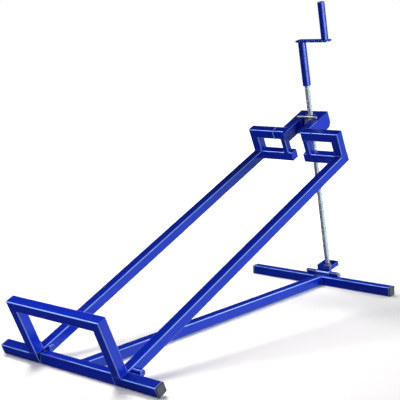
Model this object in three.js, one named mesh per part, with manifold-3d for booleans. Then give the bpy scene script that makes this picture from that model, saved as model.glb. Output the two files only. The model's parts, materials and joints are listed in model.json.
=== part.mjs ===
// Lawn mower lift: a flat foot frame, a tilting frame of square tube hinged on it, and a crank spindle
// that raises the tilting frame by a nut held in its fork. Millimetres, +X to the right, +Y from the
// front bar towards the spindle, +Z up. The origin is the middle of the front bar's underside.

import * as THREE from "three";
import * as BufferGeometryUtils from "three/addons/utils/BufferGeometryUtils.js";
import Module from "manifold-3d";

const wasm = await Module();
wasm.setup();

// Square tube
const TUBE = 40;
const TUBE_WALL = 3;
const TUBE_CORNER = 4;
const WELD_GAP = 0.3;
const RUNNING_CLEARANCE = 0.1;
const SIDE_CLEARANCE = 1;

// Foot frame
const FRONT_BAR_LENGTH = 374;
const BEAM_LENGTH = 1423;
const REAR_TUBE_LENGTH = 722;
const CAP_THICKNESS = 5;
const CAP_PLUG_LENGTH = 18;
const CAP_PLUG_WALL = 2.5;

// Tilting frame, measured along the rails and square to them from the toe edge of the foot stubs
const LIFT_ANGLE = 23.3;
const STUB_LENGTH = 193;
const HOOP_RISE = 226;
const RAIL_LENGTH = 1447;
const HINGE_FROM_TOE = 63.5;
const HINGE_ABOVE_SOLE = 24.5;

// Frame hinge
const HINGE_SLEEVE_RADIUS = 12.5;
const HINGE_PIN_RADIUS = 6;
const HINGE_SLEEVE_LENGTH = 42;
const FOOT_SLEEVE_LENGTH = 12;
const PIN_RECESS = 2;

// Wheel stops at the rear end of the rails
const WINDOW_HEIGHT = 64;
const INNER_POST_WIDTH = 24;
const INNER_POST_DEPTH = 30;
const STOP_MIDDLE_GAP = 90;
const LOWER_BAR_GAP = 61.2;
const FORK_ROOT_LENGTH = 54;

// Fork that carries the nut
const FORK_GAP = 56;
const ARM_LENGTH = 67.5;
const ARM_DEPTH = 64;
const FLANGE_THICKNESS = 5;
const CHEEK_LENGTH = 83.5;
const CHEEK_DEPTH = 69;
const CHEEK_PLATE = 4;
const CHEEK_HEEL_RADIUS = 25;
const POCKET_BEHIND_CHEEK_FRONT = 40.1;
const POCKET_BELOW_TOP = 38;
const POCKET_TRAVEL_FRONT = 9.6;
const POCKET_TRAVEL_REAR = 9.4;
const POCKET_TRAVEL_DOWN = 2.8;
const POCKET_TRAVEL_UP = 4.2;
const BRIDGE_LENGTH = 34;
const BRIDGE_PLATE = 6;
const BRIDGE_SLOT_CLEARANCE = 2.5;
const BRIDGE_SLOT_RIM = 5.7;

// U-shaped locking pin
const LOCK_PIN_RADIUS = 4.5;
const LOCK_PIN_BEND = 7;
const LOCK_PIN_BEFORE_POCKET = 20.5;
const LOCK_PIN_REACH = 13;
const LOCK_PIN_HOLE_CLEARANCE = 1.5;

// Spindle, measured from its pivot bolt: across to its axis and along it
const KNUCKLE_RADIUS = 10;
const KNUCKLE_LENGTH = 43;
const MIDDLE_KNUCKLE_LENGTH = 70;
const KNUCKLE_PLAY = 2;
const PIVOT_BOLT_RADIUS = 6;
const BOLT_HEAD_RADIUS = 10.4;
const BOLT_HEAD_LENGTH = 7;
const SPINDLE_SETBACK = 39.8;
const TRAY_SIZE = 70;
const TRAY_HEIGHT = 19;
const TRAY_PLATE = 4;
const TRAY_RISE = 11.8;
const THRUST_RING_RADIUS = 18;
const THRUST_RING_HEIGHT = 6;
const SCREW_RADIUS = 11;
const JOURNAL_RADIUS = 8;
const LOCK_NUT_HEIGHT = 9;
const LOCK_NUT_RADIUS = 13.8;
const SCREW_ABOVE_NUT = 257.5;

// Nut block on the screw
const NUT_WIDTH = 42;
const NUT_DEPTH = 38;
const NUT_HEIGHT = 44;
const TRUNNION_RADIUS = 8;
const TRUNNION_END_GAP = 2.4;

// Crank
const SOCKET_RADIUS = 17;
const SOCKET_LENGTH = 190;
const SOCKET_OVERLAP = 90;
const CRANK_THROW = 117;
const CRANK_BAR_WIDTH = 40;
const CRANK_BAR_OVERHANG = 23;
const CRANK_BAR_THICKNESS = 6.5;
const CRANK_BAR_CORNER = 8;
const CRANK_ANGLE = 0;
const GRIP_RADIUS = 15;
const GRIP_WALL = 3;
const GRIP_LENGTH = 158;
const GRIP_PIN_RADIUS = 6;
const GRIP_PLAY = 0.5;
const GRIP_BUSH_LENGTH = 14;
const GRIP_PIN_HEAD_RADIUS = 10;
const GRIP_PIN_HEAD_LENGTH = 5;

const CORNER_STEPS = 3;
const ROUND_SIDES = 26;
const EDGE_CHAMFER = 1;

// Places worked out from the sizes above
const HALF_TUBE = TUBE / 2;
const SIDES = [["left", -1], ["right", 1]];
const FRAME_INNER = FRONT_BAR_LENGTH / 2 + SIDE_CLEARANCE;
const FRAME_OUTER = FRAME_INNER + TUBE;
const STOP_FRONT = RAIL_LENGTH + WELD_GAP;
const STOP_BACK = STOP_FRONT + TUBE;
const WINDOW_TOP = TUBE + WINDOW_HEIGHT;
const STOP_TOP = WINDOW_TOP + TUBE;
const FORK_INNER = FORK_GAP / 2;
const FORK_OUTER = FORK_INNER + TUBE;
const ARM_INNER = STOP_MIDDLE_GAP / 2;
const ARM_END = STOP_BACK + WELD_GAP + ARM_LENGTH;
const CHEEK_FRONT = ARM_END + WELD_GAP;
const CHEEK_BACK = CHEEK_FRONT + CHEEK_LENGTH;
const POCKET_FROM_TOE = CHEEK_FRONT + POCKET_BEHIND_CHEEK_FRONT;
const POCKET_ABOVE_SOLE = STOP_TOP - POCKET_BELOW_TOP;
const LOCK_PIN_U = POCKET_FROM_TOE - LOCK_PIN_BEFORE_POCKET;

const blue = new THREE.MeshStandardMaterial({ color: 0x1634b4, roughness: 0.28, metalness: 0.25 });
const zinc = new THREE.MeshStandardMaterial({ color: 0xb9babd, roughness: 0.32, metalness: 0.95 });
const black = new THREE.MeshStandardMaterial({ color: 0x141417, roughness: 0.6, metalness: 0 });

const UNIT_X = new THREE.Vector3(1, 0, 0);
const UNIT_Y = new THREE.Vector3(0, 1, 0);
const UNIT_Z = new THREE.Vector3(0, 0, 1);

// Sections are drawn in two coordinates and run along a third. For a run along x they are (y, z), for a
// run along y (z, x) and for a run along z (x, y).
const RUN = {
  x: new THREE.Matrix4().makeBasis(UNIT_Y, UNIT_Z, UNIT_X),
  y: new THREE.Matrix4().makeBasis(UNIT_Z, UNIT_X, UNIT_Y),
  z: new THREE.Matrix4(),
};

function named(name, geometry, material) {
  const mesh = new THREE.Mesh(geometry, material);
  mesh.name = name;
  return mesh;
}

function toSolid(geometry) {
  const plain = geometry.clone();
  plain.deleteAttribute("normal");
  plain.deleteAttribute("uv");
  const merged = BufferGeometryUtils.mergeVertices(plain, 1e-4);
  return new wasm.Manifold(new wasm.Mesh({
    numProp: 3,
    vertProperties: new Float32Array(merged.attributes.position.array),
    triVerts: new Uint32Array(merged.index.array),
  }));
}

function toGeometry(solid) {
  const mesh = solid.getMesh();
  const geometry = new THREE.BufferGeometry();
  geometry.setAttribute("position", new THREE.BufferAttribute(new Float32Array(mesh.vertProperties), 3));
  geometry.setIndex(new THREE.BufferAttribute(new Uint32Array(mesh.triVerts), 1));
  geometry.computeVertexNormals();
  return geometry;
}

function cut(body, tools) {
  return toGeometry(tools.reduce((solid, tool) => solid.subtract(toSolid(tool)), toSolid(body)));
}

function join(body, parts) {
  return toGeometry(parts.reduce((solid, part) => solid.add(toSolid(part)), toSolid(body)));
}

function roundedRectangle(target, width, height, radius) {
  const a = width / 2 - radius;
  const b = height / 2 - radius;
  target.absarc(a, b, radius, 0, Math.PI / 2, false);
  target.absarc(-a, b, radius, Math.PI / 2, Math.PI, false);
  target.absarc(-a, -b, radius, Math.PI, 1.5 * Math.PI, false);
  target.absarc(a, -b, radius, 1.5 * Math.PI, 2 * Math.PI, false);
  target.closePath();
  return target;
}

// A straight run of a section. The centre of the section is at (across, up), and the ends can be cut
// on a slant: each end moves along the run by its slope times the section's first coordinate.
function run(axis, from, to, section, across, up, slopes = [0, 0]) {
  const length = to - from;
  const geometry = new THREE.ExtrudeGeometry(section, {
    depth: length,
    bevelEnabled: false,
    curveSegments: CORNER_STEPS,
  });
  const place = geometry.attributes.position;
  for (let i = 0; i < place.count; i += 1) {
    const slope = place.getZ(i) > length / 2 ? slopes[1] : slopes[0];
    place.setZ(i, place.getZ(i) + slope * place.getX(i));
  }
  geometry.translate(across, up, from);
  return geometry.applyMatrix4(RUN[axis]);
}

function bar(axis, from, to, width, height, radius, across, up, slopes) {
  return run(axis, from, to, roundedRectangle(new THREE.Shape(), width, height, radius), across, up, slopes);
}

function hollowBar(axis, from, to, width, height, across, up, slopes) {
  const section = roundedRectangle(new THREE.Shape(), width, height, TUBE_CORNER);
  const boreWidth = width - 2 * TUBE_WALL;
  const boreHeight = height - 2 * TUBE_WALL;
  section.holes.push(roundedRectangle(new THREE.Path(), boreWidth, boreHeight, TUBE_CORNER - TUBE_WALL));
  return run(axis, from, to, section, across, up, slopes);
}

function squareTube(axis, from, to, across, up, slopes) {
  return hollowBar(axis, from, to, TUBE, TUBE, across, up, slopes);
}

// A square tube along x that is closed by its own wall at the end nearer to the middle of the lift.
function closedTube(side, inner, outer, across, up) {
  const block = bar("x", inner, outer, TUBE, TUBE, TUBE_CORNER, across, up);
  const bore = TUBE - 2 * TUBE_WALL;
  const room = bar("x", inner + TUBE_WALL, outer + 1, bore, bore, TUBE_CORNER - TUBE_WALL, across, up);
  return mirrored(side, cut(block, [room]));
}

function mirrored(side, geometry) {
  if (side > 0) {
    return geometry;
  }
  const flipped = geometry.clone().scale(-1, 1, 1);
  const plain = flipped.index ? flipped.toNonIndexed() : flipped;
  const place = plain.attributes.position;
  const keep = new THREE.Vector3();
  const swap = new THREE.Vector3();
  for (let i = 0; i < place.count; i += 3) {
    keep.fromBufferAttribute(place, i + 1);
    swap.fromBufferAttribute(place, i + 2);
    place.setXYZ(i + 1, swap.x, swap.y, swap.z);
    place.setXYZ(i + 2, keep.x, keep.y, keep.z);
  }
  plain.computeVertexNormals();
  return plain;
}

// A turned piece around the run's axis, from a closed profile of [radius, distance along the run].
function turned(axis, profile, across, up, sides = ROUND_SIDES) {
  const points = profile.map(([radius, along]) => new THREE.Vector2(radius, along));
  const geometry = new THREE.LatheGeometry([...points, points[0].clone()], sides);
  geometry.rotateX(Math.PI / 2);
  geometry.translate(across, up, 0);
  return geometry.applyMatrix4(RUN[axis]);
}

function chamferedRod(radius, from, to) {
  return [
    [0, from],
    [radius - EDGE_CHAMFER, from],
    [radius, from + EDGE_CHAMFER],
    [radius, to - EDGE_CHAMFER],
    [radius - EDGE_CHAMFER, to],
    [0, to],
  ];
}

// The bore is drawn so that the flats of its facets, not their corners, keep the clearance.
function boreRadius(radius, clearance) {
  return (radius + clearance) / Math.cos(Math.PI / ROUND_SIDES);
}

// A drill for a hole of this radius, standing out by a millimetre at both ends.
function drillProfile(radius, from, to) {
  return [[0, from - 1], [radius, from - 1], [radius, to + 1], [0, to + 1]];
}

function ringProfile(inner, outer, from, to) {
  return [
    [inner, from],
    [outer - EDGE_CHAMFER, from],
    [outer, from + EDGE_CHAMFER],
    [outer, to - EDGE_CHAMFER],
    [outer - EDGE_CHAMFER, to],
    [inner, to],
  ];
}

function endCap(from, direction, across, up) {
  const flangeEnd = from + direction * CAP_THICKNESS;
  const plugEnd = from - direction * CAP_PLUG_LENGTH;
  const plug = TUBE - 2 * TUBE_WALL - 2 * WELD_GAP;
  const room = plug - 2 * CAP_PLUG_WALL;
  const low = Math.min(from, flangeEnd);
  const flange = bar("x", low, low + CAP_THICKNESS, TUBE, TUBE, TUBE_CORNER, across, up);
  const overlap = CAP_THICKNESS / 2;
  const corner = TUBE_CORNER - TUBE_WALL;
  const plugLow = Math.min(plugEnd, from + direction * overlap);
  const stem = bar("x", plugLow, plugLow + CAP_PLUG_LENGTH + overlap, plug, plug, corner, across, up);
  const roomLow = Math.min(plugEnd - direction, from);
  const hollow = bar("x", roomLow, roomLow + CAP_PLUG_LENGTH + 1, room, room, corner, across, up);
  return cut(join(flange, [stem]), [hollow]);
}

// Where a round sleeve lies against the rounded rear top edge of a square tube whose middle is at
// (y, half a tube): the middle of the sleeve, on the line at 45 degrees through the edge.
function onTopRearEdge(tubeMiddle, radius) {
  const reach = (TUBE_CORNER + radius + WELD_GAP) / Math.SQRT2;
  return {
    y: tubeMiddle + HALF_TUBE - TUBE_CORNER + reach,
    z: TUBE - TUBE_CORNER + reach,
  };
}

const REAR_TUBE_Y = HALF_TUBE + BEAM_LENGTH + HALF_TUBE;
const HINGE = onTopRearEdge(0, HINGE_SLEEVE_RADIUS);
const PIVOT = onTopRearEdge(REAR_TUBE_Y, KNUCKLE_RADIUS);
const LIFT_TURN = THREE.MathUtils.degToRad(LIFT_ANGLE);

// The spindle leans so that its axis, which passes the pivot at SPINDLE_SETBACK, meets the pocket.
function spindleRest() {
  const along = POCKET_FROM_TOE - HINGE_FROM_TOE;
  const above = POCKET_ABOVE_SOLE - HINGE_ABOVE_SOLE;
  const y = HINGE.y + along * Math.cos(LIFT_TURN) - above * Math.sin(LIFT_TURN) - PIVOT.y;
  const z = HINGE.z + along * Math.sin(LIFT_TURN) + above * Math.cos(LIFT_TURN) - PIVOT.z;
  const nutRise = Math.sqrt(y * y + z * z - SPINDLE_SETBACK * SPINDLE_SETBACK);
  return { lean: Math.atan2(z, y) - Math.atan2(nutRise, SPINDLE_SETBACK), nutRise };
}

const SPINDLE = spindleRest();

function footFrame() {
  const group = new THREE.Group();
  const half = FRONT_BAR_LENGTH / 2;
  group.add(named("front_bar", squareTube("x", -half, half, 0, HALF_TUBE), blue));
  const beamStart = HALF_TUBE + WELD_GAP;
  const beamEnd = REAR_TUBE_Y - HALF_TUBE - WELD_GAP;
  group.add(named("beam", squareTube("y", beamStart, beamEnd, HALF_TUBE, 0), blue));
  const rearHalf = REAR_TUBE_LENGTH / 2;
  group.add(named("rear_tube", squareTube("x", -rearHalf, rearHalf, REAR_TUBE_Y, HALF_TUBE), blue));
  for (const [word, side] of SIDES) {
    const end = side * (rearHalf + WELD_GAP);
    group.add(named(`rear_cap_${word}`, endCap(end, side, REAR_TUBE_Y, HALF_TUBE), black));
    group.add(named(`foot_hinge_sleeve_${word}`, footHingeSleeve(side), blue));
    group.add(named(`pivot_knuckle_${word}`, pivotKnuckle(side), blue));
  }
  group.add(named("pivot_bolt", pivotBolt(), zinc));
  group.add(named("pivot_nut", pivotNut(), zinc));
  return group;
}

function footHingeSleeve(side) {
  const outer = FRAME_INNER - SIDE_CLEARANCE;
  const bore = boreRadius(HINGE_PIN_RADIUS, RUNNING_CLEARANCE);
  const profile = ringProfile(bore, HINGE_SLEEVE_RADIUS, outer - FOOT_SLEEVE_LENGTH, outer);
  return mirrored(side, turned("x", profile, HINGE.y, HINGE.z));
}

function pivotKnuckle(side) {
  const inner = MIDDLE_KNUCKLE_LENGTH / 2 + KNUCKLE_PLAY;
  const bore = boreRadius(PIVOT_BOLT_RADIUS, RUNNING_CLEARANCE);
  const profile = ringProfile(bore, KNUCKLE_RADIUS, inner, inner + KNUCKLE_LENGTH);
  return mirrored(side, turned("x", profile, PIVOT.y, PIVOT.z));
}

const KNUCKLES_END = MIDDLE_KNUCKLE_LENGTH / 2 + KNUCKLE_PLAY + KNUCKLE_LENGTH + WELD_GAP;
const BOLT_END = KNUCKLES_END + BOLT_HEAD_LENGTH + EDGE_CHAMFER;

function hexagon(axis, from, to, radius, across, up) {
  return turned(axis, [[0, from], [radius, from], [radius, to], [0, to]], across, up, 6);
}

function pivotBolt() {
  const shankStart = -KNUCKLES_END - BOLT_HEAD_LENGTH / 2;
  const shank = turned("x", chamferedRod(PIVOT_BOLT_RADIUS, shankStart, BOLT_END), PIVOT.y, PIVOT.z);
  const headStart = -KNUCKLES_END - BOLT_HEAD_LENGTH;
  const head = hexagon("x", headStart, -KNUCKLES_END, BOLT_HEAD_RADIUS, PIVOT.y, PIVOT.z);
  return join(head, [shank]);
}

function pivotNut() {
  const nutEnd = KNUCKLES_END + BOLT_HEAD_LENGTH;
  const nut = hexagon("x", KNUCKLES_END, nutEnd, BOLT_HEAD_RADIUS, PIVOT.y, PIVOT.z);
  const hole = boreRadius(PIVOT_BOLT_RADIUS, WELD_GAP);
  return cut(nut, [turned("x", drillProfile(hole, KNUCKLES_END, nutEnd), PIVOT.y, PIVOT.z)]);
}

// The tilting frame is drawn in its own coordinates: y along the rails from the toe edge, z square to
// them from the sole of the stubs. Its group turns about the hinge pins.
function tiltingFrame() {
  const frame = new THREE.Group();
  frame.position.set(0, -HINGE_FROM_TOE, -HINGE_ABOVE_SOLE);
  for (const [word, side] of SIDES) {
    addFoot(frame, word, side);
    addRail(frame, word, side);
    addWheelStop(frame, word, side);
    addForkSide(frame, word, side);
  }
  frame.add(named("hoop_top_bar", hoopTopBar(), blue));
  frame.add(named("fork_bridge", forkBridge(), blue));
  frame.add(named("lock_pin", lockPin(), zinc));
  const turn = new THREE.Group();
  turn.position.set(0, HINGE.y, HINGE.z);
  turn.rotation.x = LIFT_TURN;
  turn.add(frame);
  return turn;
}

function addFoot(frame, word, side) {
  const stubEnd = FRAME_INNER + STUB_LENGTH;
  const stub = mirrored(side, squareTube("x", FRAME_INNER, stubEnd, HALF_TUBE, HALF_TUBE));
  frame.add(named(`foot_stub_${word}`, stub, blue));
  const cap = endCap(side * (stubEnd + WELD_GAP), side, HALF_TUBE, HALF_TUBE);
  frame.add(named(`foot_cap_${word}`, cap, black));
  const top = TUBE + WELD_GAP + HOOP_RISE;
  const middle = side * (FRAME_INNER + HALF_TUBE);
  const leg = squareTube("z", TUBE + WELD_GAP, top - HALF_TUBE, middle, HALF_TUBE, [0, side]);
  frame.add(named(`hoop_leg_${word}`, leg, blue));
}

// The bar's ends are mitred onto the legs: its lower edge is shorter than its upper one on both sides.
function hoopTopBar() {
  const middle = FRAME_INNER + HALF_TUBE - WELD_GAP;
  const up = TUBE + WELD_GAP + HOOP_RISE - HALF_TUBE;
  return mitredCrossBar(-middle, middle, HALF_TUBE, up, [-1, 1]);
}

// A tube along x with slanted ends. The slopes follow the height within the section.
function mitredCrossBar(from, to, across, up, slopes) {
  const section = squareTube("x", from, to, 0, 0);
  const place = section.attributes.position;
  const middle = (from + to) / 2;
  for (let i = 0; i < place.count; i += 1) {
    const slope = place.getX(i) > middle ? slopes[1] : slopes[0];
    place.setX(i, place.getX(i) + slope * place.getZ(i));
  }
  return section.translate(0, across, up);
}

function addRail(frame, word, side) {
  const middle = FRAME_INNER + HALF_TUBE;
  const rail = squareTube("y", TUBE + WELD_GAP, STOP_BACK, HALF_TUBE, middle);
  const hole = boreRadius(HINGE_PIN_RADIUS, WELD_GAP);
  const drill = turned("x", drillProfile(hole, FRAME_INNER, FRAME_OUTER), HINGE_FROM_TOE, HINGE_ABOVE_SOLE);
  const drilled = cut(rail, [drill]);
  frame.add(named(`rail_${word}`, mirrored(side, drilled), blue));
  const sleeveStart = FRAME_OUTER + WELD_GAP;
  const sleeveEnd = sleeveStart + HINGE_SLEEVE_LENGTH;
  const sleeveProfile = ringProfile(hole, HINGE_SLEEVE_RADIUS, sleeveStart, sleeveEnd);
  const sleeve = turned("x", sleeveProfile, HINGE_FROM_TOE, HINGE_ABOVE_SOLE);
  frame.add(named(`frame_hinge_sleeve_${word}`, mirrored(side, sleeve), blue));
  const pinStart = FRAME_INNER - SIDE_CLEARANCE - FOOT_SLEEVE_LENGTH + PIN_RECESS;
  const pinProfile = chamferedRod(HINGE_PIN_RADIUS, pinStart, sleeveEnd - PIN_RECESS);
  const pin = turned("x", pinProfile, HINGE_FROM_TOE, HINGE_ABOVE_SOLE);
  frame.add(named(`hinge_pin_${word}`, mirrored(side, pin), zinc));
}

function addWheelStop(frame, word, side) {
  const across = STOP_FRONT + HALF_TUBE;
  const topMiddle = WINDOW_TOP + HALF_TUBE;
  const outerMiddle = FRAME_INNER + HALF_TUBE;
  const post = squareTube("z", TUBE + WELD_GAP, topMiddle, side * outerMiddle, across, [0, side]);
  frame.add(named(`stop_outer_post_${word}`, post, blue));
  const rootInner = STOP_MIDDLE_GAP / 2;
  const rootOuter = rootInner + FORK_ROOT_LENGTH;
  const topBar = mitredCrossBar(rootOuter + WELD_GAP, outerMiddle - WELD_GAP, across, topMiddle, [0, 1]);
  frame.add(named(`stop_top_bar_${word}`, mirrored(side, topBar), blue));
  frame.add(named(`fork_root_${word}`, closedTube(side, rootInner, rootOuter, across, topMiddle), blue));
  const innerMiddle = side * (rootInner + INNER_POST_WIDTH / 2);
  const postTop = WINDOW_TOP - WELD_GAP;
  const postAcross = STOP_FRONT + INNER_POST_DEPTH / 2;
  const section = [INNER_POST_WIDTH, INNER_POST_DEPTH];
  const innerPost = hollowBar("z", TUBE + WELD_GAP, postTop, ...section, innerMiddle, postAcross);
  frame.add(named(`stop_inner_post_${word}`, innerPost, blue));
  const lowerBar = closedTube(side, LOWER_BAR_GAP / 2, FRAME_INNER - WELD_GAP, across, HALF_TUBE);
  frame.add(named(`stop_lower_bar_${word}`, lowerBar, blue));
}

// Each arm has a flange that widens its top towards the middle of the lift, flush with the cheek.
function addForkSide(frame, word, side) {
  frame.add(named(`fork_arm_${word}`, mirrored(side, forkArm()), blue));
  const width = ARM_INNER - WELD_GAP - FORK_INNER;
  const middle = side * (FORK_INNER + width / 2);
  const up = STOP_TOP - FLANGE_THICKNESS / 2;
  const flange = bar("y", STOP_FRONT, ARM_END, FLANGE_THICKNESS, width, EDGE_CHAMFER, up, middle);
  frame.add(named(`fork_flange_${word}`, flange, blue));
  frame.add(named(`fork_cheek_${word}`, mirrored(side, forkCheek()), blue));
}

// The side outline of an arm, drawn inset by its wall. Its lower half reaches under the wheel stop's
// top bar as far as the inner post.
function armOutline(inset, back) {
  const low = STOP_TOP - ARM_DEPTH + inset;
  const step = WINDOW_TOP - WELD_GAP - inset;
  const lowFront = STOP_FRONT + INNER_POST_DEPTH + WELD_GAP + inset;
  const highFront = STOP_BACK + WELD_GAP + inset;
  const outline = new THREE.Shape();
  outline.moveTo(lowFront, low);
  outline.lineTo(back, low);
  outline.lineTo(back, STOP_TOP - inset);
  outline.lineTo(highFront, STOP_TOP - inset);
  outline.lineTo(highFront, step);
  outline.lineTo(lowFront, step);
  outline.closePath();
  return outline;
}

function forkArm() {
  const box = extrudeAlongX(armOutline(0, ARM_END), ARM_INNER, FORK_OUTER, 1);
  const room = armOutline(TUBE_WALL, ARM_END + 1);
  return cut(box, [extrudeAlongX(room, ARM_INNER + TUBE_WALL, FORK_OUTER - TUBE_WALL, 1)]);
}

// The side outline of a cheek, a deep box with a rounded heel, drawn inset by a plate's thickness.
function cheekOutline(inset) {
  const front = CHEEK_FRONT + inset;
  const back = CHEEK_BACK - inset;
  const low = STOP_TOP - CHEEK_DEPTH + inset;
  const high = STOP_TOP - inset;
  const heel = CHEEK_HEEL_RADIUS - inset;
  const outline = new THREE.Shape();
  outline.moveTo(front, low);
  outline.lineTo(back - heel, low);
  outline.absarc(back - heel, low + heel, heel, -Math.PI / 2, 0, false);
  outline.lineTo(back, high);
  outline.lineTo(front, high);
  outline.closePath();
  return outline;
}

// The slot that the nut's trunnion sits in: its clearance each way is the pocket's travel.
function pocketOutline() {
  const front = POCKET_FROM_TOE - POCKET_TRAVEL_FRONT;
  const back = POCKET_FROM_TOE + POCKET_TRAVEL_REAR;
  const middle = POCKET_ABOVE_SOLE + (POCKET_TRAVEL_UP - POCKET_TRAVEL_DOWN) / 2;
  const radius = TRUNNION_RADIUS + (POCKET_TRAVEL_UP + POCKET_TRAVEL_DOWN) / 2;
  const outline = new THREE.Shape();
  outline.absarc(back, middle, radius, -Math.PI / 2, Math.PI / 2, false);
  outline.absarc(front, middle, radius, Math.PI / 2, 1.5 * Math.PI, false);
  outline.closePath();
  return outline;
}

function extrudeAlongX(outline, from, to, segments) {
  const settings = { depth: to - from, bevelEnabled: false, curveSegments: segments };
  const geometry = new THREE.ExtrudeGeometry(outline, settings);
  geometry.translate(0, 0, from);
  return geometry.applyMatrix4(RUN.x);
}

function forkCheek() {
  const box = extrudeAlongX(cheekOutline(0), FORK_INNER, FORK_OUTER, 8);
  const roomInner = FORK_INNER + CHEEK_PLATE;
  const roomOuter = FORK_OUTER - CHEEK_PLATE;
  const room = extrudeAlongX(cheekOutline(CHEEK_PLATE), roomInner, roomOuter, 8);
  const pocket = extrudeAlongX(pocketOutline(), FORK_INNER - 1, roomInner + 1, 10);
  const hole = boreRadius(LOCK_PIN_RADIUS, LOCK_PIN_HOLE_CLEARANCE);
  const drillLine = drillProfile(hole, STOP_TOP - CHEEK_DEPTH, STOP_TOP);
  const drill = turned("z", drillLine, FORK_INNER + HALF_TUBE, LOCK_PIN_U);
  return cut(box, [room, pocket, drill]);
}

// An angled plate that ties the cheeks together behind the screw, with a slot open to the front.
function forkBridge() {
  const inner = FORK_INNER - WELD_GAP;
  const profile = new THREE.Shape();
  profile.moveTo(CHEEK_BACK - BRIDGE_LENGTH, STOP_TOP - BRIDGE_PLATE);
  profile.lineTo(CHEEK_BACK - BRIDGE_PLATE, STOP_TOP - BRIDGE_PLATE);
  profile.lineTo(CHEEK_BACK - BRIDGE_PLATE, WINDOW_TOP);
  profile.lineTo(CHEEK_BACK, WINDOW_TOP);
  profile.lineTo(CHEEK_BACK, STOP_TOP);
  profile.lineTo(CHEEK_BACK - BRIDGE_LENGTH, STOP_TOP);
  profile.closePath();
  const plate = extrudeAlongX(profile, -inner, inner, 1);
  const slot = new THREE.Shape();
  const radius = SCREW_RADIUS + BRIDGE_SLOT_CLEARANCE;
  const end = CHEEK_BACK - BRIDGE_PLATE - BRIDGE_SLOT_RIM - radius;
  slot.absarc(0, end, radius, 0, Math.PI, false);
  slot.lineTo(-radius, CHEEK_BACK - BRIDGE_LENGTH - radius);
  slot.lineTo(radius, CHEEK_BACK - BRIDGE_LENGTH - radius);
  slot.closePath();
  const depth = BRIDGE_PLATE + 2;
  const tool = new THREE.ExtrudeGeometry(slot, { depth, bevelEnabled: false, curveSegments: 16 });
  tool.translate(0, 0, STOP_TOP - BRIDGE_PLATE - 1);
  return cut(plate, [tool]);
}

// A quarter turn in a plane square to the rails, from one angle to another about a centre.
class QuarterBend extends THREE.Curve {
  constructor(x, y, z, radius, start, end) {
    super();
    Object.assign(this, { x, y, z, radius, start, end });
  }

  getPoint(t, target = new THREE.Vector3()) {
    const angle = this.start + t * (this.end - this.start);
    return target.set(this.x + this.radius * Math.cos(angle), this.y, this.z + this.radius * Math.sin(angle));
  }
}

// The pin's crossbar lies on the fork and its legs go down through both cheeks.
function lockPin() {
  const reach = FORK_INNER + HALF_TUBE;
  const top = STOP_TOP + WELD_GAP + LOCK_PIN_RADIUS;
  const bottom = STOP_TOP - CHEEK_DEPTH - LOCK_PIN_REACH;
  const bendX = reach - LOCK_PIN_BEND;
  const bendZ = top - LOCK_PIN_BEND;
  const at = (x, z) => new THREE.Vector3(x, LOCK_PIN_U, z);
  const path = new THREE.CurvePath();
  path.add(new THREE.LineCurve3(at(-reach, bottom), at(-reach, bendZ)));
  path.add(new QuarterBend(-bendX, LOCK_PIN_U, bendZ, LOCK_PIN_BEND, Math.PI, Math.PI / 2));
  path.add(new THREE.LineCurve3(at(-bendX, top), at(bendX, top)));
  path.add(new QuarterBend(bendX, LOCK_PIN_U, bendZ, LOCK_PIN_BEND, Math.PI / 2, 0));
  path.add(new THREE.LineCurve3(at(reach, bendZ), at(reach, bottom)));
  const section = new THREE.Shape();
  section.absarc(0, 0, LOCK_PIN_RADIUS, 0, 2 * Math.PI, false);
  return new THREE.ExtrudeGeometry(section, { steps: 56, curveSegments: 4, extrudePath: path });
}

// The spindle is drawn in coordinates from its pivot bolt: y across to its axis and z along it.
function spindle() {
  const group = new THREE.Group();
  group.position.set(0, PIVOT.y, PIVOT.z);
  group.rotation.x = SPINDLE.lean;
  group.add(named("foot_tray", footTray(), blue));
  group.add(named("tray_knuckle", trayKnuckle(), blue));
  group.add(named("thrust_ring", thrustRing(), zinc));
  group.add(named("lift_screw", liftScrew(), zinc));
  group.add(named("foot_lock_nut", footLockNut(), zinc));
  group.add(named("nut_block", nutBlock(), zinc));
  const crank = new THREE.Group();
  crank.position.set(0, SPINDLE_SETBACK, 0);
  crank.rotation.z = THREE.MathUtils.degToRad(CRANK_ANGLE);
  crank.add(named("crank_socket", crankSocket(), blue));
  crank.add(named("crank_bar", crankBar(), blue));
  crank.add(named("grip_pin", gripPin(), zinc));
  crank.add(named("crank_grip", crankGrip(), blue));
  group.add(crank);
  return group;
}

const TRAY_FLOOR = TRAY_RISE + TRAY_PLATE;
const SCREW_START = TRAY_FLOOR + WELD_GAP + THRUST_RING_HEIGHT + WELD_GAP;
const SCREW_END = SPINDLE.nutRise + SCREW_ABOVE_NUT;
const SOCKET_START = SCREW_END - SOCKET_OVERLAP;
const CRANK_BAR_START = SOCKET_START + SOCKET_LENGTH + WELD_GAP;
const CRANK_BAR_END = CRANK_BAR_START + CRANK_BAR_THICKNESS;

function footTray() {
  const top = TRAY_RISE + TRAY_HEIGHT;
  const block = bar("z", TRAY_RISE, top, TRAY_SIZE, TRAY_SIZE, TUBE_CORNER, 0, SPINDLE_SETBACK);
  const room = TRAY_SIZE - 2 * TRAY_PLATE;
  const hollow = bar("z", TRAY_FLOOR, top + 1, room, room, TUBE_CORNER / 2, 0, SPINDLE_SETBACK);
  const hole = boreRadius(JOURNAL_RADIUS, RUNNING_CLEARANCE);
  return cut(block, [hollow, turned("z", drillProfile(hole, TRAY_RISE, TRAY_FLOOR), 0, SPINDLE_SETBACK)]);
}

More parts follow.
